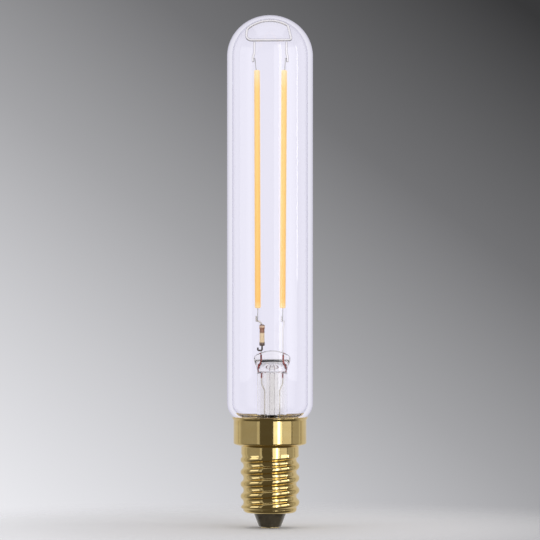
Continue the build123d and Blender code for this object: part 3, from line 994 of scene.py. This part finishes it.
for side, bar_x, tab_x in (("left", -3.65, -3.975), ("right", 3.85, 4.085)):
    bent_wire(
        side + "_hanger",
        [
            (bar_x, BAR_HEIGHT - HOOP_WIRE), (bar_x, LINK_CRANK_TOP),
            (tab_x, LINK_CRANK_FOOT), (tab_x, LINK_END),
        ],
        LINK_BEND, LINK_WIRE, "nickel_wire", nickel, side + "_top_link",
    )
bent_wire(
    "right_lead",
    [
        (3.0, LEAD_FOOT), (3.0, 46.4), (3.26, 47.3), (3.26, HOOK_HEIGHT),
        (2.615, HOOK_HEIGHT), (2.615, HOOK_END),
    ],
    0.28, LEAD_WIRE, "nickel_wire", nickel, "right_lead_in",
)
bent_wire(
    "left_lead", [(-2.0, LEAD_FOOT), (-2.0, LEFT_LEAD_TOP)],
    0.1, LEAD_WIRE, "nickel_wire", nickel, "left_lead_in",
)
bent_wire(
    "resistor_upper_lead",
    [(RESISTOR_X, RESISTOR_HIGH), (-2.58, HOOK_HEIGHT), (-3.225, HOOK_HEIGHT), (-3.225, HOOK_END)],
    0.24, LEAD_WIRE, "tinned_wire", tinned, "resistor_top_lead",
)
bent_wire(
    # This lead takes the near-black painted shade.
    "resistor_lower_lead",
    [(RESISTOR_X, RESISTOR_LOW), (RESISTOR_X, PRESS_TOP), (-2.85, PRESS_TOP), (-2.85, 42.05)],
    0.3, LEAD_WIRE, "tinned_wire", painted_shade, "resistor_bottom_lead",
)

# %% [markdown]
# A filament is a stiff rod of silicone, moulded round its carrier, with rounded ends. It hangs
# nearly upright but not quite, so its path is a straight line between its two measured ends.
# The mould leaves the rod very slightly fuller over each chip, which a small wave on the radius
# gives. The resistor is a ceramic stick with pressed end caps, the same idea with other radii.

# %% Filaments and resistor
COAT_RADIUS = 0.68
COAT_WAVE = 0.008
CHIPS = 16
RESISTOR_RADIUS = 0.575
END_CAP_RISE = 0.07


def rod(name, low, high, radii, slot, material, node, columns=40):
    """Radius per share of the length, carried along a straight line in the upright plane."""
    share = np.linspace(0, 1, len(radii))[:, None]
    path = in_plane(np.array(low) + (np.array(high) - np.array(low)) * share)
    place(name, skin(name, carried(path, radii, columns, end_rounding=0.45)), slot, material, node)


chip_turns = np.linspace(0, 2 * math.pi * CHIPS, 420)
coat_radii = COAT_RADIUS - COAT_WAVE + COAT_WAVE * np.cos(chip_turns)
for side, low_x, high_x in (("left", -2.84, -3.03), ("right", 2.94, 3.31)):
    rod(
        side + "_filament", (low_x, FILAMENT_LOW), (high_x, FILAMENT_HIGH), coat_radii,
        "phosphor_silicone", phosphor, side + "_filament_coat",
    )

from_middle = np.abs(np.linspace(0, 1, 90) - 0.5)
resistor_radii = RESISTOR_RADIUS + END_CAP_RISE * smooth_rise(from_middle, 0.27, 0.33)
rod(
    "ballast", (RESISTOR_X, RESISTOR_LOW), (RESISTOR_X, RESISTOR_HIGH), resistor_radii,
    "resistor_body", resistor_paint, "ballast_resistor",
)

# %% [markdown]
# The other solids already have the right shape, so they only take a finish. A dictionary says
# which, and the loop below hands each solid its material in the slots that it already has.

# %% Finish the remaining solids
FINISHES = {
    "left_top_tab": tab_steel,
    "right_top_tab": tab_steel,
    "left_bottom_tab": tab_steel,
    "right_bottom_tab": tab_steel,
    "left_filament_carrier": ceramic,
    "right_filament_carrier": ceramic,
    "left_led_chips": chip_face,
    "right_led_chips": chip_face,
    "left_dumet_seal": seal_copper,
    "right_dumet_seal": seal_copper,
    "left_outer_lead": tinned,
    "right_outer_lead": tinned,
    "contact_solder": solder,
    "basing_cement": cement,
    "driver_board": laminate,
    "bridge_rectifier": moulded,
    "driver_chip": moulded,
    "chip_resistors": moulded,
    "live_wire": sleeved,
    "neutral_wire": tinned,
}
for node, material in FINISHES.items():
    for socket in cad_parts[node].material_slots:
        socket.material = material
print("finished solids:", len(FINISHES))

# %% [markdown]
# The floor is pale and plain. It fades out with distance into the background, so no horizon
# line crosses behind the glass. The fade is an alpha on the floor's own Object coordinates, in
# metres. Reflections leave the floor out, since it would light up the dark band in the brass.

# %% Floor
FLOOR_RADII = (450, 300, 200, 100, 40, 10)
FLOOR_HEIGHT = -0.02
FLOOR_FADE = (0.012, 0.11)


def floor_material():
    """Pale matt floor whose alpha falls to nothing with distance from the lamp."""
    material = finish(
        "pale_floor", (0.92, 0.92, 0.95), (0.90, 0.90, 0.93), rough=(0.85, 0.95), grain=6
    )
    tree = material.node_tree
    shader = tree.nodes["Principled BSDF"]
    where = tree.nodes.new("ShaderNodeTexCoord")
    length = tree.nodes.new("ShaderNodeVectorMath")
    length.operation = "LENGTH"
    tree.links.new(where.outputs["Object"], length.inputs[0])
    fade = mapped(tree, length.outputs["Value"], *FLOOR_FADE, (1.0, 0.0), smooth=True)
    tree.links.new(fade, shader.inputs["Alpha"])
    shader.inputs["Specular IOR Level"].default_value = 0.1
    return material


floor_rows = turned([(radius, FLOOR_HEIGHT) for radius in FLOOR_RADII], 96)
floor = bpy.data.objects.new("pale_floor", skin("pale_floor", floor_rows, "open", "pole"))
floor.data.materials.append(floor_material())
bpy.context.scene.collection.objects.link(floor)
floor.visible_glossy = False

# %% [markdown]
# Clear glass shows what is behind it, and brass shows what is in front of it. So the studio
# answers each kind of ray in its own way. The camera sees a slope of greys, pale at the lower
# left and dark at the upper right. Light that passes through glass finds a pale violet-white
# room with dim sides. Metal finds a dim room that is lighter behind the lamp, apart from the
# soft panels below, and everything else gets one plain grey.

# %% Room
BACKDROP_SLOPE = (-3.2, 0.0, -4.3)
BACKDROP_MIDDLE = 0.5
BACKDROP_GREYS = [(0.0, 0.04), (0.29, 0.17), (0.53, 0.37), (0.75, 0.60), (1.0, 0.84)]
BACKDROP_BLUE = 1.04
PLAIN_GREY = (0.44, 0.43, 0.42)
FRONT_IN_METAL = (0.09, 0.08, 0.06)
BACK_IN_METAL = (0.62, 0.60, 0.57)
WHITE = (1.0, 0.99, 0.99)
DIM = (0.30, 0.29, 0.34)
VIOLET = (0.86, 0.85, 0.95)
THROUGH_GLASS = [(0.0, WHITE), (0.3, WHITE), (0.42, DIM), (0.58, DIM), (0.76, VIOLET), (1.0, VIOLET)]
BELOW_GLASS = [(0.0, (0.3, 0.3, 0.3)), (0.3, (0.9, 0.9, 0.9)), (0.4, (1.0, 1.0, 1.0))]


def room():
    """World whose colour depends on what kind of ray asks, and on where it looks."""
    world = bpy.data.worlds.new("studio_room")
    bpy.context.scene.world = world
    world.use_nodes = True
    tree = world.node_tree
    nodes = tree.nodes
    nodes.clear()
    where = nodes.new("ShaderNodeTexCoord")
    split = nodes.new("ShaderNodeSeparateXYZ")
    tree.links.new(where.outputs["Generated"], split.inputs["Vector"])

    def by_direction(axis, low, high, stops):
        """Colour over one component of the direction that a ray looks in."""
        return ramped(tree, mapped(tree, split.outputs[axis], low, high), stops)

    slope = nodes.new("ShaderNodeVectorMath")
    slope.operation = "DOT_PRODUCT"
    slope.inputs[1].default_value = BACKDROP_SLOPE
    tree.links.new(where.outputs["Generated"], slope.inputs[0])
    share = reckoned(tree, "ADD", slope.outputs["Value"], BACKDROP_MIDDLE)
    greys = [(stop, (grey, grey, grey * BACKDROP_BLUE)) for stop, grey in BACKDROP_GREYS]
    backdrop = ramped(tree, share, greys)

    in_metal = by_direction("Y", 0.2, 0.6, [(0.0, FRONT_IN_METAL), (1.0, BACK_IN_METAL)])
    around = by_direction("Y", -1, 1, THROUGH_GLASS)
    below = by_direction("Z", -0.7, 0.7, BELOW_GLASS)
    in_glass = mixed(tree, 1.0, around, below, "MULTIPLY")

    ray = nodes.new("ShaderNodeLightPath")
    colour = mixed(tree, ray.outputs["Is Glossy Ray"], (*PLAIN_GREY, 1), in_metal)
    colour = mixed(tree, ray.outputs["Is Transmission Ray"], colour, in_glass)
    colour = mixed(tree, ray.outputs["Is Camera Ray"], colour, backdrop)
    background = nodes.new("ShaderNodeBackground")
    tree.links.new(colour, background.inputs["Color"])
    output = nodes.new("ShaderNodeOutputWorld")
    tree.links.new(background.outputs["Background"], output.inputs["Surface"])


room()

# %% [markdown]
# Soft panels stand round the lamp: six at its own height, three shorter ones higher up, and
# one overhead. Each upright one shows as a band in the cap, and as a faint streak in the
# glass. The gap between the left and the right panels, where a camera stands, is what makes the
# dark band in the brass. Panels are hidden from the camera and from light that has passed
# through glass, so that only their reflections show.

# %% Soft panels
def panel(name, azimuth, distance, width, height, radiance, middle):
    """Upright soft panel at an azimuth from the camera side, whose power follows from its area."""
    data = bpy.data.lights.new(name, "AREA")
    data.shape = "RECTANGLE"
    data.size = width
    data.size_y = height
    data.energy = radiance * math.pi * width * height
    light = bpy.data.objects.new(name, data)
    turn = math.radians(azimuth)
    light.location = (distance * math.sin(turn), -distance * math.cos(turn), middle)
    light.rotation_euler = (math.radians(90), 0, turn)
    light.visible_camera = False
    light.visible_transmission = False
    bpy.context.scene.collection.objects.link(light)
    return light


# Each row: name, azimuth in degrees, then distance, width and height in metres, radiance, and
# the height of the panel's middle.
PANELS = [
    ("key_panel", 25, 0.7, 0.36, 0.8, 1.2, 0.1),
    ("key_core", 28, 0.65, 0.10, 0.8, 2.4, 0.1),
    ("left_panel", -78, 0.62, 0.92, 0.9, 0.24, 0.1),
    ("left_edge_panel", -37, 0.6, 0.09, 0.8, 0.42, 0.1),
    ("right_near_panel", 56, 0.72, 0.4, 0.8, 0.62, 0.1),
    ("right_panel", 93, 0.75, 0.5, 0.8, 0.28, 0.1),
    ("upper_strip", 78, 0.7, 0.045, 0.36, 4.0, 0.23),
    ("upper_left", -68, 0.6, 0.42, 0.34, 1.0, 0.176),
    ("upper_right", 61, 0.6, 0.34, 0.34, 1.2, 0.176),
]
for row in PANELS:
    panel(*row)
top = panel("top_panel", 0, 0.0, 0.7, 0.7, 0.6, 0.75)
top.rotation_euler = (0, 0, 0)

# %% [markdown]
# Colours are shown plainly, with no film look.

# %% Finish
bpy.context.scene.view_settings.view_transform = "Standard"
